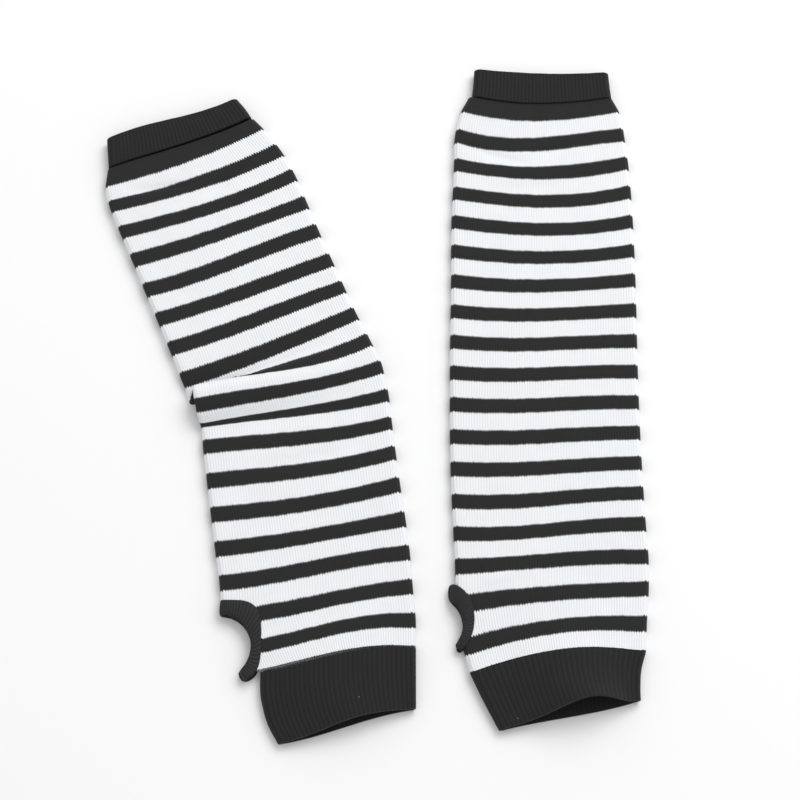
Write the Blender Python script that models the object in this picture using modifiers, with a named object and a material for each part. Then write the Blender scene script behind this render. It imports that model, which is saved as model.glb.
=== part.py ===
"""A pair of striped knitted arm warmers, laid flat side by side.

Each arm warmer is one knitted tube, pressed flat: a ribbed hand cuff, a striped sleeve with a bound
thumb hole in its left edge, and a ribbed arm cuff. The right one lies straight. The left one has
slid together half way up, so that its hand stretch rides over its arm stretch in a low fold.

Tables below give the lay in millimetres. The build is in metres, +Z up, the arm ends towards +Y,
with the origin under the middle of the pair.
"""

import math
from collections import namedtuple

import bmesh
import bpy

MM = 0.001

# The middle of the pair in the lay tables, which becomes the origin.
LAY_CENTRE = (-13.252, 3.3)

# Cloth
SLEEVE_WALL = 1.1
CUFF_WALL = 1.4
WELT_WALL = 1.7
BINDING_WALL = 1.5
SEAM_GAP = 0.3

# Lengths of cloth, from the hand rim to the arm rim
CUFF_END = 25.0
SLEEVE_END = 283.7
ARM_RIM = 297.7
FOLD_LIP = 160.0
FOLD_HIDDEN_END = 171.0

# How finely the flat tube is divided
STEPS_ACROSS = 9
STEPS_ROUND_AN_EDGE = 4

COLLECTION = "arm_warmers"
BLACK_KNIT = ("black knit", (0.018, 0.018, 0.019, 1.0), 0.95)
STRIPED_KNIT = ("striped knit", (0.45, 0.45, 0.46, 1.0), 0.95)
BLACK_BINDING = ("black binding", (0.012, 0.012, 0.014, 1.0), 0.85)

# One row of a lay: where a course of the knitting runs, as the tube lies flat.
#   cloth            mm of cloth from the hand rim
#   left_x .. right_y  the ends of the course, at the tube's two edges
#   bow_a, bow_b     how far the course runs ahead of its chord, a third and two thirds of the way over
#   top_l, top_r     height of the upper layer near each edge
#   lift             height of the lower layer, where it rides over a fold
#   crown, setback   how far the upper layer stands up in an open mouth, and how far it draws back
Row = namedtuple("Row", "cloth left_x left_y right_x right_y bow_a bow_b top_l top_r lift crown setback")

RIGHT_HAND_CUFF = [
    Row(0.0, 40.4, -144.6, 98.9, -131.8, 0.0, -0.7, 4.0, 4.0, 0, 11.0, 4.5),
    Row(7.0, 37.2, -138.6, 98.9, -127.0, 0.9, 0.3, 4.2, 4.2, 0, 8.6, 3.2),
    Row(14.0, 33.8, -132.0, 99.4, -120.4, 2.2, 1.6, 4.4, 4.4, 0, 5.6, 1.8),
    Row(25.0, 28.7, -121.2, 101.8, -111.7, 4.0, 3.5, 4.6, 4.6, 0, 2.4, 0.6),
]
RIGHT_SLEEVE = [
    Row(25.0, 28.7, -121.2, 101.8, -111.7, 4.0, 3.5, 4.6, 4.6, 0, 2.4, 0.6),
    Row(36.0, 26.1, -110.8, 102.5, -100.3, 3.4, 3.1, 4.6, 4.6, 0, 1.2, 0.2),
    Row(50.0, 23.2, -92.6, 103.8, -85.3, 1.3, 1.0, 4.6, 4.6, 0, 0.4, 0),
    Row(64.5, 23.0, -75.6, 104.2, -71.6, 0.2, 0.9, 4.6, 4.6, 0, 0.1, 0),
    Row(79.0, 22.4, -61.0, 103.6, -56.9, -1.2, 0.0, 4.6, 4.6, 0, 0, 0),
    Row(107.0, 21.4, -33.0, 102.8, -30.5, -1.2, -0.4, 4.6, 4.6, 0, 0, 0),
    Row(150.0, 21.4, 10.8, 102.5, 10.9, -1.4, -0.4, 4.6, 4.6, 0, 0, 0),
    Row(193.0, 22.2, 53.5, 102.9, 53.9, -2.6, -2.2, 4.6, 4.6, 0, 0, 0),
    Row(222.0, 22.6, 82.2, 102.7, 82.4, -3.5, -3.8, 4.6, 4.6, 0, 0, 0),
    Row(250.0, 23.9, 109.4, 101.6, 110.2, -4.3, -4.3, 4.6, 4.6, 0, 0, 0),
    Row(265.0, 24.4, 124.5, 100.2, 124.4, -5.1, -3.2, 4.6, 4.6, 0, 0, 0),
    Row(276.0, 26.9, 136.2, 98.6, 135.8, -4.7, -4.1, 4.8, 4.8, 0, 0, 0),
    Row(283.7, 30.6, 143.6, 95.3, 142.8, -3.4, -3.0, 4.8, 4.8, 0, 0, 0),
]
RIGHT_ARM_CUFF = [
    Row(283.7, 32.2, 143.6, 95.0, 142.8, -3.4, -3.0, 5.6, 5.6, 0, 0, 0),
    Row(290.0, 32.9, 149.6, 94.4, 148.4, -2.6, -2.4, 5.8, 5.8, 0, 0, 0),
    Row(297.7, 33.4, 156.6, 93.9, 155.0, -1.4, -1.5, 5.6, 5.6, 0, 0, 0),
]
LEFT_HAND_CUFF = [
    Row(0.0, -49.8, -150.0, 6.6, -135.6, -0.3, 0.8, 3.8, 3.8, 0, 5.0, 1.2),
    Row(7.0, -54.4, -141.4, 6.6, -128.9, 0.2, 1.2, 4.0, 4.0, 0, 4.2, 0.9),
    Row(14.0, -57.0, -131.8, 6.6, -121.6, 0.6, 1.8, 4.4, 4.4, 0, 3.0, 0.5),
    Row(25.0, -57.6, -120.4, 6.6, -110.3, 1.2, 2.6, 4.6, 4.6, 0, 1.6, 0),
]
LEFT_HAND_STRETCH = [
    Row(25.0, -65.0, -121.0, 6.6, -109.9, 1.4, 2.8, 4.6, 4.6, 0, 1.6, 0),
    Row(36.0, -69.6, -111.6, 6.6, -99.0, 0.7, 2.6, 4.6, 4.6, 0, 1.0, 0),
    Row(50.0, -73.8, -98.0, 5.4, -84.5, -0.8, 0.3, 4.6, 4.6, 0, 0.4, 0),
    Row(64.5, -75.3, -82.8, 4.2, -69.6, -0.5, 0.6, 4.6, 4.6, 0, 0.1, 0),
    Row(79.0, -77.6, -68.0, 2.4, -54.6, -1.1, -0.8, 4.6, 4.6, 0, 0, 0),
    Row(93.0, -79.7, -53.1, 0.2, -39.4, -1.9, -2.0, 4.6, 4.6, 0, 0, 0),
    Row(107.5, -81.8, -38.2, -1.7, -25.0, -1.4, -2.0, 4.6, 4.6, 0, 0, 0),
    Row(122.0, -83.9, -22.8, -3.3, -11.6, -1.2, -2.0, 4.6, 4.6, 0, 0, 0),
    Row(136.0, -85.2, -12.6, -4.7, 0.8, -0.6, -1.2, 4.2, 4.4, 0, 0, 0),
    Row(143.0, -86.1, -9.0, -5.9, 7.4, -0.8, -1.4, 6.4, 4.7, 0.2, 0, 0),
    Row(150.0, -87.3, -4.4, -7.4, 13.7, -1.0, -1.8, 8.6, 5.2, 3.3, 0, 0),
    Row(156.0, -88.3, 0.8, -9.4, 19.0, -1.3, -2.6, 9.2, 5.6, 3.4, 0, 0),
    Row(160.0, -88.9, 3.8, -10.8, 22.3, -1.5, -3.5, 8.4, 5.4, 3.8, 0, 0),
]
LEFT_ARM_STRETCH = [
    Row(171.0, -91.4, -3.1, -11.2, 23.4, -1.5, -1.6, 2.9, 4.8, 0, 0, 0),
    Row(175.6, -92.2, 2.4, -16.2, 34.4, -1.4, -1.2, 2.9, 4.6, 0, 0, 0),
    Row(179.0, -93.8, 7.9, -18.7, 38.7, -1.4, -1.2, 3.8, 4.6, 0, 0, 0),
    Row(193.0, -99.4, 21.6, -24.0, 50.9, -1.0, -0.3, 4.6, 4.6, 0, 0, 0),
    Row(207.5, -105.2, 35.4, -29.5, 63.8, -1.0, -0.6, 4.6, 4.6, 0, 0, 0),
    Row(222.0, -111.2, 49.4, -35.6, 78.0, -1.6, -0.4, 4.6, 4.6, 0, 0, 0),
    Row(236.0, -117.0, 63.2, -40.8, 91.3, -1.3, -1.0, 4.6, 4.6, 0, 0, 0),
    Row(250.0, -122.7, 76.3, -46.1, 104.8, -2.4, -2.8, 4.6, 4.6, 0, 0, 0),
    Row(265.0, -128.1, 89.4, -52.8, 117.4, -2.5, -2.8, 4.6, 4.6, 0, 0, 0),
    Row(276.0, -130.5, 98.6, -60.4, 127.6, -2.4, -2.5, 4.8, 4.8, 0, 0, 0),
    Row(283.7, -129.8, 107.4, -65.2, 132.8, -0.8, -1.6, 4.8, 4.8, 0, 0, 0),
]
LEFT_ARM_CUFF = [
    Row(283.7, -129.4, 108.0, -66.4, 133.4, -0.8, -1.6, 5.6, 5.6, 0, 0, 0),
    Row(290.0, -130.0, 114.4, -69.0, 137.6, 0.2, -1.4, 5.8, 5.8, 0, 0, 0),
    Row(297.7, -130.7, 121.6, -72.8, 142.5, 0.5, -1.2, 5.6, 5.6, 0, 0, 0),
]

# Where across its width each arm warmer's hand mouth stands highest
RIGHT_CROWN_AT = 0.64
LEFT_CROWN_AT = 0.56

# The lower layer of the fold comes back down to the surface between these parts of the width.
FOLD_LANDS_FROM = 0.77
FOLD_LANDS_AT = 0.88

# A thumb hole: an opening inside the outline where the striped cloth ends.
#   centre, half sizes and squareness of both outlines (2 is an ellipse, more is squarer), and how far
#   the binding stands out of the sleeve's edge
ThumbHole = namedtuple("ThumbHole", "cloth_centre cloth_half squareness opening_centre opening_half flare")
RIGHT_HOLE = ThumbHole((20.5, -98.0), (10.4, 15.0), 2.0, (16.5, -100.4), (9.5, 11.3), 1.6)
LEFT_HOLE = ThumbHole((-71.0, -107.3), (13.7, 17.3), 3.4, (-74.0, -109.8), (12.3, 13.4), 0.4)
BINDING_FROM = 24.0
BINDING_TO = 72.0


def smooth_row(rows, cloth):
    """Returns the row at a length of cloth, read from a smooth curve through the table's rows."""
    last = len(rows) - 2
    index = max(0, min(last, sum(row.cloth <= cloth for row in rows) - 1))
    before, start, end, after = (rows[max(0, min(last + 1, index + k))] for k in (-1, 0, 1, 2))
    span = end.cloth - start.cloth
    u = (cloth - start.cloth) / span
    values = []
    for column in range(len(start)):
        slope_in = slope(before, end, start, column) * span
        slope_out = slope(start, after, end, column) * span
        a, b = start[column], end[column]
        values.append(
            a + slope_in * u + (3 * (b - a) - 2 * slope_in - slope_out) * u**2
            + (2 * (a - b) + slope_in + slope_out) * u**3
        )
    return Row(*values)


def slope(first, second, here, column):
    """Slope of a column at a row, or that of its one neighbour at an end of the table."""
    del here
    return (second[column] - first[column]) / (second.cloth - first.cloth)


def smooth_step(low, high, value):
    """0 below low, 1 above high, and an S curve between."""
    u = max(0.0, min(1.0, (value - low) / (high - low)))
    return u * u * (3 - 2 * u)


def bow_at(row, across):
    """How far a course runs ahead of its chord at a part of its width."""
    near = (9 * row.bow_a - 4.5 * row.bow_b) * across * (1 - across) ** 2
    far = (9 * row.bow_b - 4.5 * row.bow_a) * across**2 * (1 - across)
    return near + far


def crown_shape(across, peak):
    """0 at both edges and 1 at the peak."""
    return math.sin(math.pi * across ** (math.log(0.5) / math.log(peak))) ** 1.5


def flat_tube_stations():
    """The stations round a flattened tube: (part of the width, how far out past it, side).

    They run along the lower layer, up round the right edge, back along the upper layer and down
    round the left edge. Side is -1 on the lower layer, 1 on the upper one and between on an edge.
    """
    stations = [(i / STEPS_ACROSS, 0.0, -1.0) for i in range(STEPS_ACROSS + 1)]
    turns = [math.pi * (i / STEPS_ROUND_AN_EDGE - 0.5) for i in range(1, STEPS_ROUND_AN_EDGE)]
    stations += [(1.0, math.cos(turn), math.sin(turn)) for turn in turns]
    stations += [(1 - i / STEPS_ACROSS, 0.0, 1.0) for i in range(STEPS_ACROSS + 1)]
    stations += [(0.0, -math.cos(turn), -math.sin(turn)) for turn in turns]
    return stations


def lay_point(row, station, peak):
    """Returns the point of the tube's outer surface at a station of a row."""
    across, out, side = station
    top = row.top_l + (row.top_r - row.top_l) * smooth_step(0.3, 1.0, across)
    landed = smooth_step(FOLD_LANDS_FROM, FOLD_LANDS_AT, across)
    bottom = max(0.0, row.lift) * (1 - landed)
    half = (top - bottom) / 2
    chord_x, chord_y = row.right_x - row.left_x, row.right_y - row.left_y
    width = math.hypot(chord_x, chord_y)
    edge = half / width
    place = edge + across * (1 - 2 * edge) + out * edge
    x = row.left_x + chord_x * place
    y = row.left_y + chord_y * place + bow_at(row, min(1.0, max(0.0, place)))
    z = (top + bottom) / 2 + side * half
    if side > 0 and out == 0:
        raised = crown_shape(across, peak)
        z += row.crown * raised
        y += row.setback * raised
    return ((x - LAY_CENTRE[0]) * MM, (y - LAY_CENTRE[1]) * MM, z * MM)


def flat_tube(rows, cloth_levels, peak):
    """Returns a mesh: the outer surface of a flattened tube through the given lengths of cloth."""
    stations = flat_tube_stations()
    around, along = len(stations), len(cloth_levels) - 1
    sheet = bmesh.new()
    bmesh.ops.create_grid(sheet, x_segments=around, y_segments=along, size=1.0)
    for vert in sheet.verts:
        column = round((vert.co.x + 1) / 2 * around) % around
        level = round((vert.co.y + 1) / 2 * along)
        vert.co = lay_point(smooth_row(rows, cloth_levels[level]), stations[column], peak)
    bmesh.ops.remove_doubles(sheet, verts=sheet.verts, dist=1e-6)
    bmesh.ops.reverse_faces(sheet, faces=sheet.faces)
    mesh = bpy.data.meshes.new("flat tube")
    sheet.to_mesh(mesh)
    sheet.free()
    return mesh


def levels_between(start, end, steps, extra=()):
    """Evenly spaced lengths of cloth, with a few extra ones where the cloth bends."""
    even = {round(start + (end - start) * i / steps, 3) for i in range(steps + 1)}
    return sorted(even | set(extra))


def collection(name):
    """Returns a collection of the scene, made when it is first asked for."""
    found = bpy.data.collections.get(name)
    if found is None:
        found = bpy.data.collections.new(name)
        bpy.context.scene.collection.children.link(found)
    return found


def finish(name, colour, roughness):
    """Returns a matt cloth material."""
    material = bpy.data.materials.new(name)
    material.use_nodes = True
    shader = material.node_tree.nodes["Principled BSDF"]
    shader.inputs["Base Color"].default_value = colour
    shader.inputs["Roughness"].default_value = roughness
    shader.inputs["Metallic"].default_value = 0.0
    return material


def knitted_piece(name, mesh, wall, look):
    """Adds a piece of cloth: the outer surface, thickened inwards by its wall."""
    mesh.name = name
    mesh.materials.append(finish(f"{name} {look[0]}", look[1], look[2]))
    piece = bpy.data.objects.new(name, mesh)
    collection(COLLECTION).objects.link(piece)
    thickness = piece.modifiers.new("Wall", "SOLIDIFY")
    thickness.thickness = wall * MM
    thickness.offset = -1.0
    thickness.use_even_offset = True
    return piece


def outline_cutter(name, centre, half, squareness):
    """Adds an upright prism whose outline is an ellipse, or squarer, to cut cloth with."""
    bpy.ops.mesh.primitive_cylinder_add(
        vertices=40, radius=1.0, depth=0.06, location=(0, 0, 0.01)
    )
    cutter = bpy.context.object
    cutter.name = name
    for vert in cutter.data.vertices:
        reach = (abs(vert.co.x) ** squareness + abs(vert.co.y) ** squareness) ** (1 / squareness)
        vert.co.x = (centre[0] - LAY_CENTRE[0] + vert.co.x / reach * half[0]) * MM
        vert.co.y = (centre[1] - LAY_CENTRE[1] + vert.co.y / reach * half[1]) * MM
    for owner in list(cutter.users_collection):
        owner.objects.unlink(cutter)
    collection("cutters").objects.link(cutter)
    cutter.hide_render = True
    cutter.display_type = "WIRE"
    return cutter


def cut(piece, cutter, operation):
    """Cuts a piece with a cutter: DIFFERENCE removes what is inside it, INTERSECT keeps only that."""
    boolean = piece.modifiers.new(f"{operation} {cutter.name}", "BOOLEAN")
    boolean.operation = operation
    boolean.solver = "EXACT"
    boolean.object = cutter


def add_thumb_hole(side, sleeve, rows, hole, peak):
    """Opens the thumb hole in a sleeve's left edge and adds the binding round it."""
    cloth_edge = outline_cutter(
        f"{side} thumb cloth edge", hole.cloth_centre, hole.cloth_half, hole.squareness
    )
    cut(sleeve, cloth_edge, "DIFFERENCE")
    seam_half = [size - SEAM_GAP for size in hole.cloth_half]
    seam = outline_cutter(f"{side} thumb seam", hole.cloth_centre, seam_half, hole.squareness)
    opening = outline_cutter(
        f"{side} thumb opening", hole.opening_centre, hole.opening_half, 2.0
    )
    flared = [row._replace(left_x=row.left_x - hole.flare, top_l=row.top_l + 0.4) for row in rows]
    band = flat_tube(flared, levels_between(BINDING_FROM, BINDING_TO, 10), peak)
    binding = knitted_piece(f"{side}_thumb_binding", band, BINDING_WALL, BLACK_BINDING)
    cut(binding, seam, "INTERSECT")
    cut(binding, opening, "DIFFERENCE")


def add_hand_cuff(side, rows, peak):
    """Adds the ribbed cuff at the hand, whose mouth stands open."""
    levels = levels_between(0.0, CUFF_END - SEAM_GAP / 2, 5)
    knitted_piece(f"{side}_hand_cuff", flat_tube(rows, levels, peak), CUFF_WALL, BLACK_KNIT)


def add_arm_cuff(side, rows, peak):
    """Adds the doubled ribbed welt at the upper arm."""
    levels = levels_between(SLEEVE_END + SEAM_GAP / 2, ARM_RIM, 3)
    knitted_piece(f"{side}_arm_cuff", flat_tube(rows, levels, peak), WELT_WALL, BLACK_KNIT)


def add_right_warmer():
    """Adds the arm warmer that lies straight."""
    levels = levels_between(CUFF_END + SEAM_GAP / 2, SLEEVE_END - SEAM_GAP / 2, 26)
    mesh = flat_tube(RIGHT_SLEEVE, levels, RIGHT_CROWN_AT)
    sleeve = knitted_piece("right_sleeve", mesh, SLEEVE_WALL, STRIPED_KNIT)
    add_hand_cuff("right", RIGHT_HAND_CUFF, RIGHT_CROWN_AT)
    add_arm_cuff("right", RIGHT_ARM_CUFF, RIGHT_CROWN_AT)
    add_thumb_hole("right", sleeve, RIGHT_SLEEVE, RIGHT_HOLE, RIGHT_CROWN_AT)


def add_left_warmer():
    """Adds the arm warmer whose sleeve is folded over itself half way up."""
    bends = (140.0, 143.0, 146.5, 150.0, 153.0, 156.0, 158.5)
    levels = levels_between(CUFF_END + SEAM_GAP / 2, FOLD_LIP, 12, bends)
    mesh = flat_tube(LEFT_HAND_STRETCH, levels, LEFT_CROWN_AT)
    sleeve = knitted_piece("left_sleeve_hand_stretch", mesh, SLEEVE_WALL, STRIPED_KNIT)
    levels = levels_between(FOLD_HIDDEN_END, SLEEVE_END - SEAM_GAP / 2, 11, (173.0, 175.6, 179.0))
    mesh = flat_tube(LEFT_ARM_STRETCH, levels, LEFT_CROWN_AT)
    knitted_piece("left_sleeve_arm_stretch", mesh, SLEEVE_WALL, STRIPED_KNIT)
    add_hand_cuff("left", LEFT_HAND_CUFF, LEFT_CROWN_AT)
    add_arm_cuff("left", LEFT_ARM_CUFF, LEFT_CROWN_AT)
    add_thumb_hole("left", sleeve, LEFT_HAND_STRETCH, LEFT_HOLE, LEFT_CROWN_AT)


def main():
    """Clears the scene and lays out the pair."""
    for leftover in list(bpy.data.objects):
        bpy.data.objects.remove(leftover, do_unlink=True)
    add_right_warmer()
    add_left_warmer()


if __name__ == "__main__":
    main()
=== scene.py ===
"""Looks of a pair of striped knitted arm warmers, laid flat side by side on a pale surface.

Each arm warmer is a knitted tube pressed flat: a ribbed hand cuff, a striped sleeve with a bound
thumb hole in its left edge, and a ribbed welt at the arm. The right one lies straight. The left one
has slid together half way up, so that its hand stretch rides over its arm stretch.

The lay tables are in millimetres round the same origin as the solids, before LAY_CENTRE is taken off.
"""

from __future__ import annotations

import logging
import math
from dataclasses import dataclass, field
from enum import Enum
from typing import NamedTuple

import bmesh
import bpy
import numpy as np
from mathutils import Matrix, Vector
from mathutils.bvhtree import BVHTree

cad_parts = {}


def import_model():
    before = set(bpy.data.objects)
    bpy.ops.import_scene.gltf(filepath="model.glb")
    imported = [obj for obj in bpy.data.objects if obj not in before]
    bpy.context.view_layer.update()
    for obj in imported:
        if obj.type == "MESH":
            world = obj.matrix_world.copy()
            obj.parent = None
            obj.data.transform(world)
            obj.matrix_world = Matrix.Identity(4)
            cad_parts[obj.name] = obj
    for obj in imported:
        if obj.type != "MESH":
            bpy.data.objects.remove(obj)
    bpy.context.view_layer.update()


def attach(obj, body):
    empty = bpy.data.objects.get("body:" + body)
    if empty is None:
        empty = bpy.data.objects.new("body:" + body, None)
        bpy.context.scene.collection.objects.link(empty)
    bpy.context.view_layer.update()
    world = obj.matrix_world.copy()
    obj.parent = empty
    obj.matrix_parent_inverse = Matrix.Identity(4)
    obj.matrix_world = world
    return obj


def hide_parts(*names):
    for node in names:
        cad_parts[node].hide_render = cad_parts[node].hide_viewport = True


log = logging.getLogger("arm_warmers")

MM = 0.001
BODY = "root"
LAY_CENTRE = np.array([-13.252, 3.3])
CLOTH_UV = "cloth"
UV_LENGTH = 300.0  # mm of cloth that V runs over, so that V stays between 0 and 1

CUFF_END = 25.0
SLEEVE_END = 283.7
ARM_RIM = 297.7
SEAM_GAP = 0.3

CROWN_POWER = 1.5  # how sharply an open mouth's crown rises
BOW_NEAR, BOW_FAR = 9.0, 4.5  # these make a course pass through bow_a and bow_b at its thirds
UNDERSIDE_RELIEF = 0.4  # how much of a crease the lower layer shows, the other way up
WAVE_ALONG, WAVE_SWAY, WAVE_SWAY_ACROSS = 0.21, 3, 7
WAVE_ACROSS, WAVE_LEAN = 19, 0.05
PLAIN_EDGE = 0.08  # the part of the width, at each edge, where creases fade out
WELD_WITHIN = 1e-6
RAY_START = 0.03  # metres above or below the cloth, clear of it
SHADE_SMOOTH_TO = math.radians(60)


# --- the lay ---------------------------------------------------------------------------------


class Course(NamedTuple):
    """Where one course of the knitting runs as the tube lies flat, in mm.

    cloth is the length of cloth from the hand rim. left and right are the course's ends. bow_a and
    bow_b say how far it runs ahead of its chord a third and two thirds of the way over. mid and half
    are the height of the tube's middle and half its thickness at each end. crown and setback lift the
    upper layer in an open mouth and draw it back.
    """

    cloth: float
    left_x: float
    left_y: float
    right_x: float
    right_y: float
    bow_a: float
    bow_b: float
    mid_l: float = 2.3
    mid_r: float = 2.3
    half_l: float = 2.3
    half_r: float = 2.3
    crown: float = 0.0
    setback: float = 0.0


RIGHT_HAND_CUFF = [
    Course(0.0, 40.4, -144.6, 98.9, -131.8, 0.0, -0.7, 2.0, 2.0, 2.0, 2.0, 11.0, 4.5),
    Course(7.0, 37.2, -138.6, 98.9, -127.0, 0.9, 0.3, 2.1, 2.1, 2.1, 2.1, 8.6, 3.2),
    Course(14.0, 33.8, -132.0, 99.4, -120.4, 2.2, 1.6, 2.2, 2.2, 2.2, 2.2, 5.6, 1.8),
    Course(25.0, 28.7, -121.2, 101.8, -111.7, 4.0, 3.5, crown=2.4, setback=0.6),
]
RIGHT_SLEEVE = [
    Course(25.0, 28.7, -121.2, 101.8, -111.7, 4.0, 3.5, crown=2.4, setback=0.6),
    Course(36.0, 26.1, -110.8, 102.5, -100.3, 3.4, 3.1, crown=1.2, setback=0.2),
    Course(50.0, 23.2, -92.6, 103.8, -85.3, 1.3, 1.0, crown=0.4),
    Course(64.5, 23.0, -75.6, 104.2, -71.6, 0.2, 0.9, crown=0.1),
    Course(79.0, 22.4, -61.0, 103.6, -56.9, -1.2, 0.0),
    Course(107.0, 21.4, -33.0, 102.8, -30.5, -1.2, -0.4),
    Course(150.0, 21.4, 10.8, 102.5, 10.9, -1.4, -0.4),
    Course(193.0, 22.2, 53.5, 102.9, 53.9, -2.6, -2.2),
    Course(222.0, 22.6, 82.2, 102.7, 82.4, -3.5, -3.8),
    Course(250.0, 23.9, 109.4, 101.6, 110.2, -4.3, -4.3),
    Course(265.0, 24.4, 124.5, 100.2, 124.4, -5.1, -3.2),
    Course(276.0, 26.9, 136.2, 98.6, 135.8, -4.7, -4.1, 2.4, 2.4, 2.4, 2.4),
    Course(283.7, 30.6, 143.6, 95.3, 142.8, -3.4, -3.0, 2.4, 2.4, 2.4, 2.4),
]
RIGHT_ARM_CUFF = [
    Course(283.7, 32.2, 143.6, 95.0, 142.8, -3.4, -3.0, 2.8, 2.8, 2.8, 2.8),
    Course(290.0, 32.9, 149.6, 94.4, 148.4, -2.6, -2.4, 2.9, 2.9, 2.9, 2.9),
    Course(297.7, 33.4, 156.6, 93.9, 155.0, -1.4, -1.5, 2.8, 2.8, 2.8, 2.8),
]
LEFT_HAND_CUFF = [
    Course(0.0, -49.8, -150.0, 6.6, -135.6, -0.3, 0.8, 1.9, 1.9, 1.9, 1.9, 5.0, 1.2),
    Course(7.0, -54.4, -141.4, 6.6, -128.9, 0.2, 1.2, 2.0, 2.0, 2.0, 2.0, 4.2, 0.9),
    Course(14.0, -57.0, -131.8, 6.6, -121.6, 0.6, 1.8, 2.2, 2.2, 2.2, 2.2, 3.0, 0.5),
    Course(25.0, -57.6, -120.4, 6.6, -110.3, 1.2, 2.6, crown=1.6),
]
LEFT_SLEEVE = [
    Course(25.0, -65.0, -121.0, 6.6, -109.9, 1.4, 2.8, crown=1.6),
    Course(36.0, -69.6, -111.6, 6.6, -99.0, 0.7, 2.6, crown=1.0),
    Course(50.0, -73.8, -98.0, 5.4, -84.5, -0.8, 0.3, crown=0.4),
    Course(64.5, -75.3, -82.8, 4.2, -69.6, -0.5, 0.6, crown=0.1),
    Course(79.0, -77.6, -68.0, 2.4, -54.6, -1.1, -0.8),
    Course(93.0, -79.7, -53.1, 0.2, -39.4, -1.9, -2.0),
    Course(107.5, -81.8, -38.2, -1.7, -25.0, -1.4, -2.0),
    Course(121.8, -83.9, -22.8, -3.3, -11.6, -1.2, -2.0),
    Course(129.0, -84.6, -16.4, -4.0, -5.4, -0.8, -1.6, 2.1, 2.3, 2.1, 2.3),
    Course(132.7, -84.9, -13.9, -4.3, -2.1, -0.6, -1.3, 2.1, 2.2, 1.9, 2.2),
    Course(136.0, -85.2, -12.6, -4.7, 0.8, -0.5, -1.2, 2.4, 2.2, 1.8, 2.2),
    Course(139.4, -85.6, -11.4, -5.2, 4.0, -0.6, -1.3, 3.1, 2.4, 1.7, 2.2),
    Course(143.0, -86.0, -10.0, -5.9, 7.4, -0.8, -1.4, 4.4, 2.6, 1.6, 2.2),
    Course(147.0, -86.7, -8.0, -6.7, 10.8, -1.0, -1.6, 6.1, 2.9, 1.5, 2.2),
    Course(150.4, -87.3, -5.2, -7.4, 13.9, -1.0, -1.8, 7.1, 3.2, 1.5, 2.2),
    Course(153.7, -87.9, -2.3, -8.3, 16.8, -1.2, -2.2, 7.6, 3.5, 1.45, 2.2),
    Course(157.9, -88.5, 1.2, -9.8, 20.4, -1.4, -3.1, 7.75, 3.7, 1.45, 2.2),
    Course(160.3, -88.8, 2.75, -10.6, 22.4, -1.5, -3.5, 6.2, 3.7, 1.45, 2.2),
    Course(162.8, -89.2, 1.2, -11.8, 24.6, -0.6, -2.6, 4.65, 3.4, 1.45, 2.2),
    Course(165.1, -89.7, -1.1, -12.8, 26.6, 0.5, -1.4, 4.6, 3.1, 1.45, 2.2),
    Course(167.6, -90.2, -2.7, -13.8, 28.8, 1.2, -0.5, 3.1, 2.8, 1.45, 2.2),
    Course(170.0, -90.8, -1.1, -14.8, 31.0, 0.6, -0.4, 1.5, 2.5, 1.45, 2.2),
    Course(175.6, -92.4, 4.4, -17.2, 35.7, -1.4, -1.1, 1.6, 2.3, 1.5, 2.3),
    Course(179.0, -93.8, 7.9, -18.7, 38.7, -1.4, -1.2, 1.9, 2.3, 1.9, 2.3),
    Course(186.0, -96.6, 14.8, -21.4, 44.9, -1.2, -0.8),
    Course(193.0, -99.4, 21.6, -24.0, 50.9, -1.0, -0.3),
    Course(207.5, -105.2, 35.4, -29.5, 63.8, -1.0, -0.6),
    Course(222.0, -111.2, 49.4, -35.6, 78.0, -1.6, -0.4),
    Course(236.0, -117.0, 63.2, -40.8, 91.3, -1.3, -1.0),
    Course(250.0, -122.7, 76.3, -46.1, 104.8, -2.4, -2.8),
    Course(265.0, -128.1, 89.4, -52.8, 117.4, -2.5, -2.8),
    Course(276.0, -130.5, 98.6, -60.4, 127.6, -2.4, -2.5, 2.4, 2.4, 2.4, 2.4),
    Course(283.7, -129.8, 107.4, -65.2, 132.8, -0.8, -1.6, 2.4, 2.4, 2.4, 2.4),
]
LEFT_ARM_CUFF = [
    Course(283.7, -129.4, 108.0, -66.4, 133.4, -0.8, -1.6, 2.8, 2.8, 2.8, 2.8),
    Course(290.0, -130.0, 114.4, -69.0, 137.6, 0.2, -1.4, 2.9, 2.9, 2.9, 2.9),
    Course(297.7, -130.7, 121.6, -72.8, 142.5, 0.5, -1.2, 2.8, 2.8, 2.8, 2.8),
]


class Crease(NamedTuple):
    """A soft trough (negative depth) or ridge in the upper layer.

    cloth and across place its middle, in mm of cloth and as a part of the width. length and width are
    its reach in mm, turn its slant from the course in degrees, and depth its height in mm.
    """

    cloth: float
    across: float
    length: float
    width: float
    turn: float
    depth: float


RIGHT_CREASES = [
    Crease(258.0, 0.25, 30.0, 4.0, -12.0, -0.7),
    Crease(262.0, 0.62, 26.0, 4.0, 10.0, -0.6),
    Crease(243.0, 0.42, 34.0, 5.0, 6.0, -0.5),
    Crease(60.0, 0.25, 26.0, 5.0, 16.0, 0.5),
]
LEFT_CREASES = [
    Crease(268.0, 0.3, 24.0, 4.0, -10.0, -0.8),
    Crease(262.0, 0.7, 26.0, 4.0, 18.0, -0.8),
    Crease(205.0, 0.55, 40.0, 7.0, 12.0, -0.5),
    Crease(112.0, 0.5, 50.0, 6.0, 4.0, -0.5),
    Crease(46.0, 0.35, 30.0, 5.0, 14.0, -0.5),
]


def smooth_step(low: float, high: float, value: np.ndarray) -> np.ndarray:
    """Returns 0 below low, 1 above high, and an S curve between."""
    u = np.clip((value - low) / (high - low), 0.0, 1.0)
    return u * u * (3 - 2 * u)


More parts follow.
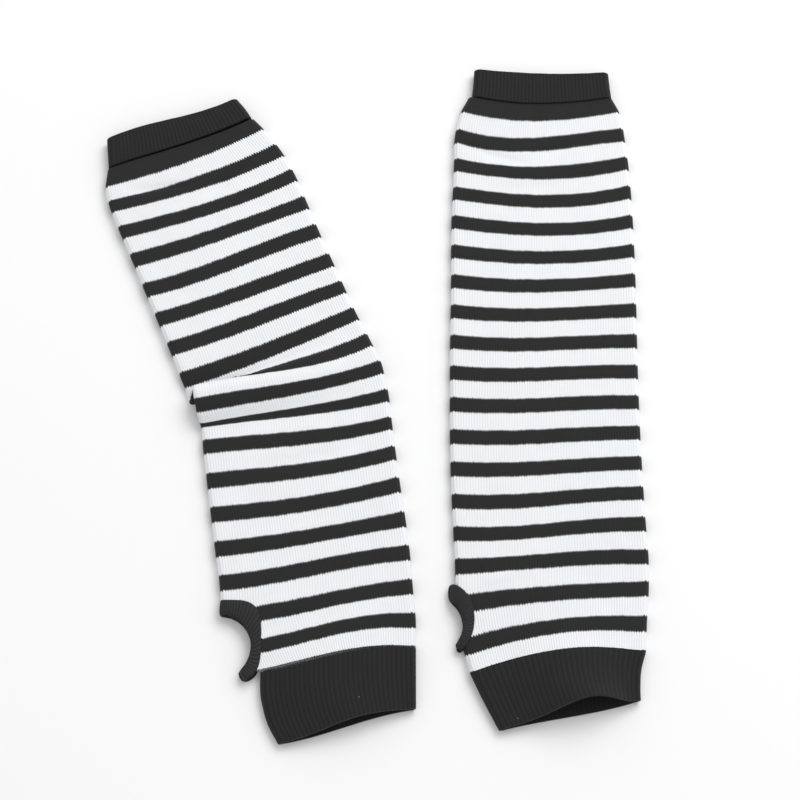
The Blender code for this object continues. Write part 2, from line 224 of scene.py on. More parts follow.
@dataclass
class Lay:
    """The outer surface of a flattened tube, from its table of courses."""

    courses: list[Course]
    crown_at: float
    creases: list[Crease] = field(default_factory=list)
    flare: float = 0.0
    ripple: float = 0.12

    def rows(self, cloth: np.ndarray) -> np.ndarray:
        """Reads the table's columns from smooth curves through its rows.

        Args:
            cloth: Lengths of cloth from the hand rim, in mm.

        Returns:
            One row of the table's columns for each length.
        """
        table = np.array(self.courses, dtype=float)
        at = table[:, 0]
        slopes = np.gradient(table, at, axis=0, edge_order=1)
        index = np.clip(np.searchsorted(at, cloth, side="right") - 1, 0, len(at) - 2)
        span = (at[index + 1] - at[index])[:, None]
        u = (cloth - at[index])[:, None] / span
        start, end = table[index], table[index + 1]
        rise_in, rise_out = slopes[index] * span, slopes[index + 1] * span
        return (
            start + rise_in * u
            + (3 * (end - start) - 2 * rise_in - rise_out) * u**2
            + (2 * (start - end) + rise_in + rise_out) * u**3
        )

    def points(self, cloth: np.ndarray, stations: np.ndarray) -> np.ndarray:
        """Places the tube's outer surface.

        Args:
            cloth: Lengths of cloth, one for each ring.
            stations: (part of the width, how far out past it, side) round the tube.

        Returns:
            Points in metres, as an array of rings by stations by 3.
        """
        rows = {name: column[:, None] for name, column in zip(Course._fields, self.rows(cloth).T)}
        across, out, side = stations.T[:, None, :]
        left_x = rows["left_x"] - self.flare
        chord_x, chord_y = rows["right_x"] - left_x, rows["right_y"] - rows["left_y"]
        width = np.hypot(chord_x, chord_y)
        half = rows["half_l"] + (rows["half_r"] - rows["half_l"]) * across
        edge = half / width
        place = edge + across * (1 - 2 * edge)
        early = BOW_NEAR * rows["bow_a"] - BOW_FAR * rows["bow_b"]
        late = BOW_NEAR * rows["bow_b"] - BOW_FAR * rows["bow_a"]
        bow = early * place * (1 - place) ** 2 + late * place**2 * (1 - place)
        x = left_x + chord_x * place
        y = rows["left_y"] + chord_y * place + bow
        z = rows["mid_l"] + (rows["mid_r"] - rows["mid_l"]) * across
        unit_x, unit_y = chord_x / width, chord_y / width
        ahead_x, ahead_y = -unit_y, unit_x
        tip_z, tip_ahead = self.tilt(cloth, x, y, z, ahead_x, ahead_y)
        raised = np.sin(np.pi * across ** (math.log(0.5) / math.log(self.crown_at))) ** CROWN_POWER
        upper = smooth_step(0.0, 1.0, side)
        x = x + unit_x * out * half - ahead_x * tip_ahead * side * half
        y = y + unit_y * out * half - ahead_y * tip_ahead * side * half
        y = y + rows["setback"] * raised * upper
        z = z + side * half * tip_z + rows["crown"] * raised * upper
        share = np.where(side > 0, 1.0, -UNDERSIDE_RELIEF)
        z = z + self.relief(cloth, across, width) * np.abs(side) * share
        plan = np.stack([x - LAY_CENTRE[0], y - LAY_CENTRE[1], np.maximum(z, 0.0)], axis=-1)
        return plan * MM

    @staticmethod
    def tilt(
        cloth: np.ndarray, x: np.ndarray, y: np.ndarray, z: np.ndarray,
        ahead_x: np.ndarray, ahead_y: np.ndarray,
    ) -> tuple[np.ndarray, np.ndarray]:
        """Returns the upward and the forward part of the slope's normal, smoothed along the tube."""
        forward = np.gradient(x, cloth, axis=0) * ahead_x + np.gradient(y, cloth, axis=0) * ahead_y
        rise = np.gradient(z, cloth, axis=0)
        kernel = np.array([1.0, 4.0, 6.0, 4.0, 1.0]) / 16
        padded = [np.pad(part, ((2, 2), (0, 0)), mode="edge") for part in (forward, rise)]
        forward, rise = (
            sum(weight * part[k : k + len(cloth)] for k, weight in enumerate(kernel)) for part in padded
        )
        length = np.maximum(np.hypot(forward, rise), 1e-6)
        return forward / length, rise / length

    def relief(self, cloth: np.ndarray, across: np.ndarray, width: np.ndarray) -> np.ndarray:
        """Returns the height of the creases and of the cloth's faint unevenness, in mm."""
        height = np.zeros((len(cloth), across.shape[-1]))
        along = cloth[:, None]
        for crease in self.creases:
            turn = math.radians(crease.turn)
            dx, dy = (across - crease.across) * width, along - crease.cloth
            lengthwise = dx * math.cos(turn) + dy * math.sin(turn)
            sideways = dy * math.cos(turn) - dx * math.sin(turn)
            fade = np.exp(-((lengthwise / (crease.length / 2)) ** 4))
            height += crease.depth * fade * np.exp(-((sideways / (crease.width / 2)) ** 2))
        wave = np.sin(along * WAVE_ALONG + WAVE_SWAY * np.sin(across * WAVE_SWAY_ACROSS))
        wave = wave * np.sin(across * WAVE_ACROSS + along * WAVE_LEAN)
        inside = smooth_step(0.0, PLAIN_EDGE, across) * (1 - smooth_step(1 - PLAIN_EDGE, 1.0, across))
        return (height + self.ripple * wave) * inside


# --- sheets ----------------------------------------------------------------------------------


def tube_stations(steps_across: int, steps_round: int) -> np.ndarray:
    """Returns the stations round a flattened tube, from the lower layer's left end round and back.

    Args:
        steps_across: Steps over each layer.
        steps_round: Steps round each edge.

    Returns:
        Rows of (part of the width, how far out past it, side), the last one equal to the first.
    """
    over = np.linspace(0.0, 1.0, steps_across + 1)
    turn = np.pi * (np.arange(1, steps_round) / steps_round - 0.5)
    flat, ones = np.zeros_like(over), np.ones_like(over)
    lower = np.stack([over, flat, -ones], axis=1)
    right = np.stack([np.ones_like(turn), np.cos(turn), np.sin(turn)], axis=1)
    upper = np.stack([over[::-1], flat, ones], axis=1)
    left = np.stack([np.zeros_like(turn), -np.cos(turn), -np.sin(turn)], axis=1)
    return np.concatenate([lower, right, upper, left, lower[:1]])


def select_only(piece: bpy.types.Object) -> None:
    """Selects one object and makes it active."""
    bpy.ops.object.select_all(action="DESELECT")
    piece.select_set(True)
    bpy.context.view_layer.objects.active = piece


def grid_piece(name: str, points: np.ndarray, u: np.ndarray, v: np.ndarray) -> bpy.types.Object:
    """Adds a grid laid through an array of points, with its UV map.

    Args:
        name: The object's name.
        points: Rows by columns by 3, in metres.
        u: The map's U for each column.
        v: The map's V for each row.

    Returns:
        The new object, with its seams still open.
    """
    rows, columns = points.shape[:2]
    bpy.ops.object.select_all(action="DESELECT")
    bpy.ops.mesh.primitive_grid_add(
        x_subdivisions=columns - 1, y_subdivisions=rows - 1, size=2.0, calc_uvs=True
    )
    piece = bpy.context.object
    piece.name = piece.data.name = name
    mesh = piece.data
    plain = np.empty(len(mesh.vertices) * 3, dtype=np.float32)
    mesh.vertices.foreach_get("co", plain)
    plain = plain.reshape(-1, 3)
    column = np.rint((plain[:, 0] + 1) / 2 * (columns - 1)).astype(int)
    row = np.rint((plain[:, 1] + 1) / 2 * (rows - 1)).astype(int)
    mesh.vertices.foreach_set("co", points[row, column].astype(np.float32).ravel())
    corner = np.empty(len(mesh.loops), dtype=np.int32)
    mesh.loops.foreach_get("vertex_index", corner)
    layer = mesh.uv_layers[0]
    layer.name = CLOTH_UV
    layer.data.foreach_set(
        "uv", np.stack([u[column[corner]], v[row[corner]]], axis=1).astype(np.float32).ravel()
    )
    mesh.update()
    return piece


def weld(piece: bpy.types.Object, reverse: bool) -> None:
    """Closes a piece's seams, and turns its faces round if they point inwards."""
    sheet = bmesh.new()
    sheet.from_mesh(piece.data)
    bmesh.ops.remove_doubles(sheet, verts=sheet.verts, dist=WELD_WITHIN)
    if reverse:
        bmesh.ops.reverse_faces(sheet, faces=sheet.faces)
    sheet.to_mesh(piece.data)
    sheet.free()


def thicken(piece: bpy.types.Object, wall: float) -> None:
    """Gives a sheet its wall, inwards, and shades it smooth."""
    select_only(piece)
    solid = piece.modifiers.new("Wall", "SOLIDIFY")
    solid.thickness = wall * MM
    solid.offset = -1.0
    solid.use_even_offset = False
    bpy.ops.object.modifier_apply(modifier=solid.name)
    bpy.ops.object.shade_smooth_by_angle(angle=SHADE_SMOOTH_TO)


def flat_tube(name: str, lay: Lay, cloth: np.ndarray, stations: np.ndarray) -> bpy.types.Object:
    """Adds the outer surface of a flattened tube, welded along its length."""
    points = lay.points(cloth, stations)
    round_share = np.linspace(0.0, 1.0, len(stations))
    piece = grid_piece(name, points, round_share, cloth / UV_LENGTH)
    weld(piece, reverse=True)
    return piece


# --- shaders ---------------------------------------------------------------------------------


class Socket:
    """A shader value whose arithmetic adds the nodes that work it out."""

    def __init__(self, graph: Graph, link: bpy.types.NodeSocket) -> None:
        """Keeps the graph and the output socket."""
        self.graph = graph
        self.link = link

    def maths(self, operation: str, *others: Socket | float, clamp: bool = False) -> Socket:
        """Returns a Math node's result on this value and the others."""
        settings = {"operation": operation, "use_clamp": clamp}
        values = dict(enumerate((self, *others)))
        return self.graph.node("ShaderNodeMath", settings, values)

    def __add__(self, other: Socket | float) -> Socket:
        """Adds."""
        return self.maths("ADD", other)

    def __radd__(self, other: float) -> Socket:
        """Adds to a number."""
        return self.maths("ADD", other)

    def __sub__(self, other: Socket | float) -> Socket:
        """Subtracts."""
        return self.maths("SUBTRACT", other)

    def __rsub__(self, other: float) -> Socket:
        """Subtracts from a number."""
        return (self * -1.0) + other

    def __mul__(self, other: Socket | float) -> Socket:
        """Multiplies."""
        return self.maths("MULTIPLY", other)

    def __rmul__(self, other: float) -> Socket:
        """Multiplies a number."""
        return self.maths("MULTIPLY", other)

    def __truediv__(self, other: Socket | float) -> Socket:
        """Divides."""
        return self.maths("DIVIDE", other)

    def part(self) -> Socket:
        """Returns the part after the decimal point."""
        return self.maths("FRACT")

    def whole(self) -> Socket:
        """Returns the whole number below."""
        return self.maths("FLOOR")

    def size(self) -> Socket:
        """Returns the value without its sign."""
        return self.maths("ABSOLUTE")

    def sine(self) -> Socket:
        """Returns the sine."""
        return self.maths("SINE")

    def between(self, low: float, high: float) -> Socket:
        """Returns 0 below low, 1 above high, and a smooth step between."""
        return self.graph.node(
            "ShaderNodeMapRange",
            {"interpolation_type": "SMOOTHSTEP"},
            {"Value": self, "From Min": low, "From Max": high, "To Min": 0.0, "To Max": 1.0},
        )


class Graph:
    """One material's node tree."""

    def __init__(self, name: str) -> None:
        """Makes a material with a bare Principled shader."""
        self.material = bpy.data.materials.new(name)
        self.material.use_nodes = True
        self.tree = self.material.node_tree
        self.shader = self.tree.nodes["Principled BSDF"]

    def node(self, kind: str, settings: dict, values: dict, output: str | int = 0) -> Socket:
        """Adds a node.

        Args:
            kind: The node's type.
            settings: Its properties, set first.
            values: Its inputs, by name or number: numbers, tuples or sockets.
            output: The output wanted.

        Returns:
            That output.
        """
        made = self.tree.nodes.new(kind)
        for key, value in settings.items():
            setattr(made, key, value)
        for key, value in values.items():
            if isinstance(value, Socket):
                self.tree.links.new(value.link, made.inputs[key])
            else:
                made.inputs[key].default_value = value
        return Socket(self, made.outputs[output])

    def cloth_map(self) -> tuple[Socket, Socket]:
        """Returns U round the tube and V along it."""
        place = self.node("ShaderNodeUVMap", {"uv_map": CLOTH_UV}, {})
        return (
            self.node("ShaderNodeSeparateXYZ", {}, {"Vector": place}, "X"),
            self.node("ShaderNodeSeparateXYZ", {}, {"Vector": place}, "Y"),
        )

    def noise(self, scale: float, detail: float = 2.0) -> Socket:
        """Returns soft noise on the object's own coordinates, from about 0 to 1."""
        place = self.node("ShaderNodeTexCoord", {}, {}, "Object")
        return self.node(
            "ShaderNodeTexNoise", {}, {"Vector": place, "Scale": scale, "Detail": detail}, "Fac"
        )

    def mix(self, share: Socket | float, first: tuple | Socket, second: tuple | Socket) -> Socket:
        """Returns the mix of two colours."""
        made = self.tree.nodes.new("ShaderNodeMix")
        made.data_type = "RGBA"
        for index, value in ((0, share), (6, first), (7, second)):
            if isinstance(value, Socket):
                self.tree.links.new(value.link, made.inputs[index])
            else:
                made.inputs[index].default_value = value
        return Socket(self, made.outputs[2])

    def bump(self, height: Socket, distance: float, strength: float = 1.0) -> Socket:
        """Returns the normal of a height field, whose full height is distance in metres."""
        return self.node(
            "ShaderNodeBump", {}, {"Height": height, "Distance": distance, "Strength": strength}, "Normal"
        )

    def drive(self, name: str, value: Socket) -> None:
        """Links a value to one of the shader's inputs."""
        self.tree.links.new(value.link, self.shader.inputs[name])

    def fix(self, name: str, value: float | tuple) -> None:
        """Sets one of the shader's inputs all over."""
        self.shader.inputs[name].default_value = value


# Painted shade: each groove colour below is a darker copy of its yarn, laid in the grooves between wales
# and between stitch loops, where shade falls.
WHITE_YARN = (0.86, 0.865, 0.88, 1.0)
WHITE_GROOVE_SHADE = (0.66, 0.67, 0.70, 1.0)
BLACK_YARN = (0.0185, 0.0185, 0.0185, 1.0)
BLACK_GROOVE_SHADE = (0.0085, 0.0085, 0.009, 1.0)
LINT = (0.30, 0.30, 0.31, 1.0)
RIB_YARN = (0.0155, 0.0155, 0.0155, 1.0)
RIB_GROOVE_SHADE = (0.006, 0.006, 0.0065, 1.0)
THREAD = (0.0165, 0.0165, 0.018, 1.0)
THREAD_GROOVE_SHADE = (0.006, 0.006, 0.0068, 1.0)


@dataclass(frozen=True)
class StripedKnit:
    """Plain knit in white and black stripes, all black past the last one. Lengths are in mm."""

    wales: float = 144.0
    course: float = 0.86
    white: float = 7.6
    black: float = 6.7
    stripes_end: float = 275.7
    tooth: float = 0.85
    unevenness: float = 0.35
    blur: float = 0.1
    white_blur: float = 0.12
    groove_from: float = 0.62
    slope: float = 0.55
    relief: float = 0.22

    def make(self, name: str) -> bpy.types.Material:
        """Returns the material."""
        graph = Graph(name)
        u, v = graph.cloth_map()
        wale = u * self.wales
        slant = (wale.part() - 0.5).size() * 2.0
        length = v * UV_LENGTH
        uneven = graph.node(
            "ShaderNodeTexWhiteNoise", {"noise_dimensions": "1D"}, {"W": wale.whole()}, "Value"
        )
        edge = length + (slant - 0.5) * self.tooth + (uneven - 0.5) * self.unevenness
        pitch = self.white + self.black
        phase = ((edge - CUFF_END) / pitch).part() * pitch
        black = phase.between(self.white - self.white_blur, self.white + self.white_blur)
        black = black * (1.0 - phase.between(pitch - self.blur, pitch))
        plain = edge.between(self.stripes_end - self.blur, self.stripes_end + self.blur)
        black = black.maths("MAXIMUM", plain)
        # Painted shade: the colour is darkened in the wale grooves and between the stitch loops, on white
        # and black alike; the noise only varies how deep this painted shade is on white.
        groove = slant.between(self.groove_from, 1.0)
        stitch = (length / self.course + slant * self.slope).part()
        loop = (stitch * math.pi).sine()
        shade = (groove * 0.75 + (1.0 - loop) * 0.3).maths("MINIMUM", 1.0)
        cloud = graph.noise(60.0).between(0.35, 0.75)
        white = graph.mix(shade * (cloud * 0.4 + 0.6), WHITE_YARN, WHITE_GROOVE_SHADE)
        dark = graph.mix(shade, BLACK_YARN, BLACK_GROOVE_SHADE)
        dark = graph.mix(lint_mask(graph), dark, LINT)
        graph.drive("Base Color", graph.mix(black, white, dark))
        graph.fix("Roughness", 0.92)
        graph.fix("Specular IOR Level", 0.25)
        graph.fix("Sheen Weight", 0.06)
        graph.fix("Sheen Roughness", 0.6)
        height = (1.0 - slant * slant) * (loop * 0.45 + 0.55)
        graph.drive("Normal", graph.bump(height, self.relief * MM, 0.8))
        return graph.material


def lint_mask(graph: Graph) -> Socket:
    """Returns 1 on a few tiny flecks of lint."""
    place = graph.node("ShaderNodeTexCoord", {}, {}, "Object")
    near = graph.node("ShaderNodeTexVoronoi", {}, {"Vector": place, "Scale": 62.0}, "Distance")
    return 1.0 - near.between(0.006, 0.016)


@dataclass(frozen=True)
class RibbedKnit:
    """Black one-by-one rib."""

    ribs: float
    course: float = 0.85
    groove_from: float = 0.55
    relief: float = 0.2

    def make(self, name: str) -> bpy.types.Material:
        """Returns the material."""
        graph = Graph(name)
        u, v = graph.cloth_map()
        rib = (u * self.ribs).part()
        slant = (rib - 0.5).size() * 2.0
        loop = ((v * UV_LENGTH / self.course + slant * 0.5).part() * math.pi).sine()
        # Painted shade: the rib's grooves and the gaps between its loops are coloured darker, standing in
        # for the shade that falls in them.
        groove = slant.between(self.groove_from, 1.0)
        shade = (groove * 0.8 + (1.0 - loop) * 0.35).maths("MINIMUM", 1.0)
        dark = graph.mix(shade, RIB_YARN, RIB_GROOVE_SHADE)
        dark = graph.mix(lint_mask(graph), dark, LINT)
        graph.drive("Base Color", dark)
        graph.fix("Roughness", 0.9)
        graph.fix("Specular IOR Level", 0.3)
        graph.fix("Sheen Weight", 0.05)
        graph.drive("Normal", graph.bump(loop * 0.6 + (1.0 - slant), self.relief * MM, 0.7))
        return graph.material


@dataclass(frozen=True)
class Overlock:
    """Black thread wrapped round the edge of the thumb hole."""

    threads: float = 74.0
    lean: float = 3.0
    relief: float = 0.28

    def make(self, name: str) -> bpy.types.Material:
        """Returns the material."""
        graph = Graph(name)
        u, v = graph.cloth_map()
        thread = (u * self.threads + v * self.lean).part()
        ridge = (thread * math.pi).sine()
        # Painted shade: the colour darkens in the grooves between the wrapped threads, where shade falls.
        dark = graph.mix(ridge, THREAD_GROOVE_SHADE, THREAD)
        graph.drive("Base Color", dark)
        graph.fix("Roughness", 0.72)
        graph.fix("Specular IOR Level", 0.35)
        graph.fix("Sheen Weight", 0.04)
        graph.drive("Normal", graph.bump(ridge, self.relief * MM, 0.8))
        return graph.material


# --- arm warmers -----------------------------------------------------------------------------


class Held(Enum):
    """How a piece of cloth lies."""

    LAID = "laid"
    FOLDED = "folded"


@dataclass(frozen=True)
class Outline:
    """A closed outline seen from above: an ellipse, or squarer. Sizes in mm, in the lay's frame."""

    centre: tuple[float, float]
    half: tuple[float, float]
    squareness: float = 2.0

    def at(self, angle: np.ndarray, margin: float = 0.0) -> np.ndarray:
        """Returns the outline's points at angles, moved out by a margin, in mm."""
        c, s = np.cos(angle), np.sin(angle)
        power = self.squareness
        reach = (np.abs(c) ** power + np.abs(s) ** power) ** (1 / power)
        return np.stack(
            [
                self.centre[0] + c / reach * (self.half[0] + margin),
                self.centre[1] + s / reach * (self.half[1] + margin),
            ],
            axis=-1,
        )

    def holds(self, plan: np.ndarray, margin: float = 0.0) -> np.ndarray:
        """Returns whether points of the plan, in mm, lie inside the outline moved out by a margin."""
        x = np.abs(plan[..., 0] - self.centre[0]) / (self.half[0] + margin)
        y = np.abs(plan[..., 1] - self.centre[1]) / (self.half[1] + margin)
        return x**self.squareness + y**self.squareness < 1.0

    def crossings(self, edge: np.ndarray) -> tuple[float, float]:
        """Returns the angles at which a line of points enters and leaves the outline.

        Args:
            edge: Points in mm, running from the hand towards the arm.

        Returns:
            The angle at the hand end, below 0, and at the arm end, above 0.
        """
        inside = np.flatnonzero(self.holds(edge))
        ends = edge[[inside[0], inside[-1]]] - np.array(self.centre)
        low, high = np.arctan2(ends[:, 1], ends[:, 0])
        return float(low), float(high)


@dataclass
class ThumbHole:
    """The hole in a sleeve's left edge: where the cloth ends, the opening, and the bound band between."""

    cloth_edge: Outline
    opening: Outline
    flare: float
    stations: int = 70
    ring: int = 18
    proud: float = 0.75
    depth: float = 1.3
    tuck: float = 1.2
    reach_from: float = 20.0
    reach_to: float = 80.0
    sleeve_rings: int = 150
    steps_across: int = 90
    steps_round: int = 10
    roundness: float = 0.7

    def open(self, sheet: bpy.types.Object) -> None:
        """Removes the cloth inside the hole, leaving a margin for the binding to cover."""
        mesh = sheet.data
        places = np.empty(len(mesh.vertices) * 3, dtype=np.float32)
        mesh.vertices.foreach_get("co", places)
        plan = places.reshape(-1, 3)[:, :2] / MM + LAY_CENTRE
        gone = set(np.flatnonzero(self.cloth_edge.holds(plan, -self.tuck)).tolist())
        cloth = bmesh.new()
        cloth.from_mesh(mesh)
        doomed = [vert for vert in cloth.verts if vert.index in gone]
        bmesh.ops.delete(cloth, geom=doomed, context="VERTS")
        cloth.to_mesh(mesh)
        cloth.free()

    def binding(self, name: str, lay: Lay) -> bpy.types.Object:
        """Adds the band that is wrapped round the hole's edge, on both layers.

        Args:
            name: The object's name.
            lay: The sleeve's lay.

        Returns:
            The band, a closed ring that turns over the sleeve's edge at both ends.
        """
        flared = Lay(lay.courses, lay.crown_at, flare=self.flare, ripple=0.0)
        cloth = np.linspace(self.reach_from, self.reach_to, self.sleeve_rings)
        stations = tube_stations(self.steps_across, self.steps_round)
        tube = flared.points(cloth, stations)
        tree = surface_tree(tube)
        left_edge = tube[:, -1 - self.steps_round // 2]
        edge = left_edge[:, :2] / MM + LAY_CENTRE
        middle = float(left_edge[:, 2].mean())
        low_in, high_in = self.opening.crossings(edge)
        low_out, high_out = self.cloth_edge.crossings(edge)
        share = 0.5 - 0.5 * np.cos(np.linspace(0.0, np.pi, self.stations))
        inner = self.opening.at(high_in + (low_in - high_in) * share)
        outer = self.cloth_edge.at(high_out + (low_out - high_out) * share)
        turn = 2 * np.pi * np.arange(self.ring + 1) / self.ring
        over = 0.5 - 0.5 * np.cos(turn)
        lift = np.sign(np.sin(turn)) * np.abs(np.sin(turn)) ** self.roundness
        lift = np.where(lift > 0, lift * self.proud, lift * self.depth)
        rings = []
        for upper in (True, False):
            order = range(self.stations) if upper else range(self.stations - 2, 0, -1)
            for index in order:
                plan = inner[index] + (outer[index] - inner[index]) * over[:, None]
                rings.append(band_ring(tree, plan, lift, upper, middle))
        rings.append(rings[0])
        piece = grid_piece(
            name, np.array(rings), np.linspace(0, 1, self.ring + 1), np.linspace(0, 1, len(rings))
        )
        swap_map(piece)
        weld(piece, reverse=False)
        return piece


def swap_map(piece: bpy.types.Object) -> None:
    """Swaps U and V, so that U runs along the band."""
    layer = piece.data.uv_layers[CLOTH_UV]
    flat = np.empty(len(layer.data) * 2, dtype=np.float32)
    layer.data.foreach_get("uv", flat)
    layer.data.foreach_set("uv", flat.reshape(-1, 2)[:, ::-1].ravel())


def surface_tree(points: np.ndarray) -> BVHTree:
    """Returns a search tree over a grid of points, rows by columns by 3."""
    rows, columns = points.shape[:2]
    corners = [Vector(point) for point in points.reshape(-1, 3).tolist()]
    faces = [
        (r * columns + c, (r + 1) * columns + c, (r + 1) * columns + c + 1, r * columns + c + 1)
        for r in range(rows - 1)
        for c in range(columns - 1)
    ]
    return BVHTree.FromPolygons(corners, faces)


def band_ring(
    tree: BVHTree, plan: np.ndarray, lift: np.ndarray, upper: bool, middle: float
) -> list[list[float]]:
    """Wraps one ring of the band round the cloth.

    Args:
        tree: The sleeve's surface.
        plan: The ring's points seen from above, in mm.
        lift: How far each stands off the surface, in mm.
        upper: Whether it is on the upper layer.
        middle: The height of the sleeve's edge, in metres.

    Returns:
        The ring's points, in metres.
    """
    way = Vector((0, 0, -1 if upper else 1))
    height = RAY_START if upper else -RAY_START
    ring = []
    for (x, y), off in zip((plan - LAY_CENTRE) * MM, lift):
        start = Vector((x, y, height))
        spot, normal, _, _ = tree.ray_cast(start, way)
        if spot is None:
            spot, normal, _, _ = tree.find_nearest(Vector((x, y, middle)))
        if normal.dot(way) > 0:
            normal = -normal
        place = spot + normal * off * MM
        ring.append([place.x, place.y, max(place.z, 0.0)])
    return ring


@dataclass
class ArmWarmer:
    """One arm warmer: sleeve, hand cuff, arm cuff and thumb binding.

    Walls are in mm, flat widths in metres. Where the sleeve folds, between fine_from and fine_to mm of
    cloth, its rings are closer together: folded_rings counts them before, within and after the fold.
    """

    side: str
    sleeve_nodes: tuple[str, ...]
    hand: Lay
    sleeve: Lay
    arm: Lay
    hole: ThumbHole
    held: Held
    fine_from: float = 0.0
    fine_to: float = 0.0
    wall: float = 1.05
    hand_wall: float = 1.3
    arm_wall: float = 1.6
    flat_width: float = 0.165
    hand_flat_width: float = 0.130
    arm_flat_width: float = 0.126
    hand_ribs: float = 64.0
    arm_ribs: float = 74.0
    rings: int = 225
    folded_rings: tuple[int, int, int] = (84, 76, 90)
    hand_rings: int = 36
    arm_rings: int = 24
    sleeve_steps: tuple[int, int] = (82, 6)
    cuff_steps: tuple[int, int] = (150, 10)

    def build(self, floor: bpy.types.Object) -> None:
        """Builds and dresses every piece, and hangs it on the body."""
        sleeve = self.build_sleeve()
        binding = self.build_binding()
        hand = self.build_hand_cuff()
        arm = self.build_arm_cuff()
        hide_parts(*self.sleeve_nodes)
        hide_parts(f"{self.side}_thumb_binding")
        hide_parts(f"{self.side}_hand_cuff")
        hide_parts(f"{self.side}_arm_cuff")
        for piece in (sleeve, binding, hand, arm):
            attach(piece, BODY)
            log.info("%s: %d faces", piece.name, len(piece.data.polygons))

    def levels(self) -> np.ndarray:
        """Returns the sleeve's lengths of cloth, closer together where it folds."""
        start, end = CUFF_END + SEAM_GAP / 2, SLEEVE_END - SEAM_GAP / 2
        if self.fine_to <= self.fine_from:
            return np.linspace(start, end, self.rings)
        before, within, after = self.folded_rings
        return np.concatenate(
            [
                np.linspace(start, self.fine_from, before, endpoint=False),
                np.linspace(self.fine_from, self.fine_to, within, endpoint=False),
                np.linspace(self.fine_to, end, after),
            ]
        )

    def build_sleeve(self) -> bpy.types.Object:
        """Builds the striped tube with its thumb hole."""
        stations = tube_stations(*self.sleeve_steps)
        piece = flat_tube(f"{self.side}_sleeve_knit", self.sleeve, self.levels(), stations)
        self.hole.open(piece)
        thicken(piece, self.wall)
        piece.data.materials.append(StripedKnit().make(f"{self.side} striped knit"))
        return piece

    def build_binding(self) -> bpy.types.Object:
        """Builds the band round the thumb hole."""
        piece = self.hole.binding(f"{self.side}_thumb_band", self.sleeve)
        select_only(piece)
        bpy.ops.object.shade_smooth_by_angle(angle=SHADE_SMOOTH_TO)
        piece.data.materials.append(Overlock().make(f"{self.side} thumb binding"))
        return piece

    def build_hand_cuff(self) -> bpy.types.Object:
        """Builds the ribbed cuff at the hand."""
        cloth = np.linspace(0.0, CUFF_END - SEAM_GAP / 2, self.hand_rings)
        piece = flat_tube(f"{self.side}_hand_rib", self.hand, cloth, tube_stations(*self.cuff_steps))
        thicken(piece, self.hand_wall)
        piece.data.materials.append(RibbedKnit(ribs=self.hand_ribs).make(f"{self.side} hand rib"))
        return piece

    def build_arm_cuff(self) -> bpy.types.Object:
        """Builds the doubled welt at the upper arm."""
        cloth = np.linspace(SLEEVE_END + SEAM_GAP / 2, ARM_RIM, self.arm_rings)
        piece = flat_tube(f"{self.side}_arm_rib", self.arm, cloth, tube_stations(*self.cuff_steps))
        thicken(piece, self.arm_wall)
        piece.data.materials.append(RibbedKnit(ribs=self.arm_ribs).make(f"{self.side} arm rib"))
        return piece


# --- studio ----------------------------------------------------------------------------------


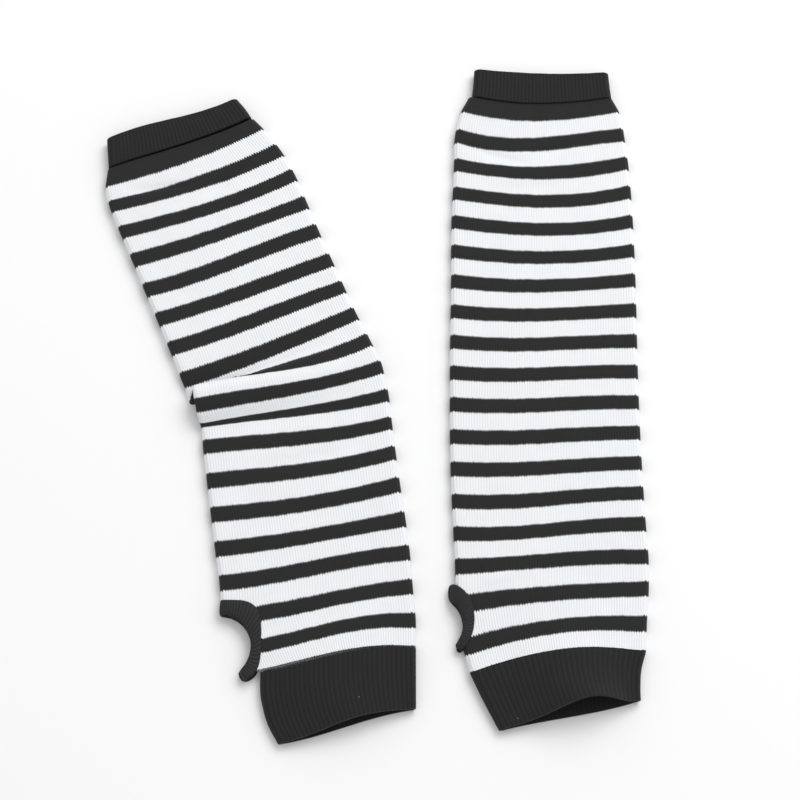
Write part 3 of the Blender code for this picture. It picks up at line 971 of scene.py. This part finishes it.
@dataclass
class Studio:
    """The pale floor, the soft light and the camera."""

    distance: float = 1.04
    above: float = 70.0
    span: float = 0.344
    sensor: float = 36.0
    floor_size: float = 8.0
    floor_depth: float = 0.0002
    sky: float = 0.72
    lamp_at: tuple[float, float, float] = (0.9, 1.1, 1.5)
    lamp_size: tuple[float, float] = (1.6, 1.2)
    lamp_power: float = 26.0

    def floor(self) -> bpy.types.Object:
        """Lays a pale floor just under the cloth."""
        bpy.ops.mesh.primitive_plane_add(
            size=self.floor_size, location=(0, 0, -self.floor_depth)
        )
        ground = bpy.context.object
        ground.name = "floor"
        graph = Graph("floor")
        graph.fix("Base Color", (0.9, 0.9, 0.905, 1.0))
        graph.fix("Roughness", 0.95)
        graph.fix("Specular IOR Level", 0.1)
        ground.data.materials.append(graph.material)
        return ground

    def camera(self) -> None:
        """Stands the camera over the hand end, looking down at the pair."""
        target = Vector((-LAY_CENTRE[0] * MM, -LAY_CENTRE[1] * MM, 0.0))
        tilt = math.radians(self.above)
        back = Vector((0.0, -math.cos(tilt), math.sin(tilt)))
        data = bpy.data.cameras.new("camera")
        data.sensor_width = self.sensor
        data.lens = self.sensor * self.distance / self.span
        camera = bpy.data.objects.new("camera", data)
        bpy.context.scene.collection.objects.link(camera)
        camera.location = target + back * self.distance
        camera.rotation_euler = (math.radians(90 - self.above), 0.0, 0.0)
        bpy.context.scene.camera = camera

    def lights(self) -> None:
        """Hangs one large soft light behind and to the right, over an even pale sky."""
        world = bpy.data.worlds.new("sky")
        world.use_nodes = True
        sky = world.node_tree.nodes["Background"]
        sky.inputs["Color"].default_value = (1.0, 1.0, 1.0, 1.0)
        sky.inputs["Strength"].default_value = self.sky
        bpy.context.scene.world = world
        data = bpy.data.lights.new("window", "AREA")
        data.shape = "RECTANGLE"
        data.size, data.size_y = self.lamp_size
        data.energy = self.lamp_power
        lamp = bpy.data.objects.new("window", data)
        bpy.context.scene.collection.objects.link(lamp)
        lamp.location = self.lamp_at
        lamp.rotation_euler = (-Vector(lamp.location)).to_track_quat("-Z", "Y").to_euler()
        bpy.context.scene.view_settings.view_transform = "Standard"


RIGHT_HOLE = ThumbHole(
    cloth_edge=Outline((20.5, -98.0), (10.4, 15.0)),
    opening=Outline((16.5, -100.4), (9.5, 11.3)),
    flare=1.6,
)
LEFT_HOLE = ThumbHole(
    cloth_edge=Outline((-71.0, -107.3), (13.7, 17.3), 3.4),
    opening=Outline((-74.0, -109.8), (12.3, 13.4)),
    flare=0.4,
)


def corners(box: tuple[Vector, Vector]) -> list[list[float]]:
    """Returns a box's corners as plain lists."""
    return [list(corner) for corner in box]


def main() -> None:
    """Loads the frame and builds the pair round it."""
    logging.basicConfig(level=logging.INFO, format="%(message)s")
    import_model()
    studio = Studio()
    floor = studio.floor()
    studio.camera()
    studio.lights()
    right = ArmWarmer(
        "right", ("right_sleeve",), Lay(RIGHT_HAND_CUFF, 0.64), Lay(RIGHT_SLEEVE, 0.64, RIGHT_CREASES),
        Lay(RIGHT_ARM_CUFF, 0.5), RIGHT_HOLE, Held.LAID,
    )
    left = ArmWarmer(
        "left", ("left_sleeve_hand_stretch", "left_sleeve_arm_stretch"), Lay(LEFT_HAND_CUFF, 0.56),
        Lay(LEFT_SLEEVE, 0.56, LEFT_CREASES), Lay(LEFT_ARM_CUFF, 0.5), LEFT_HOLE, Held.FOLDED,
        fine_from=124.0, fine_to=182.0,
    )
    for warmer in (right, left):
        warmer.build(floor)


if __name__ == "__main__":
    main()
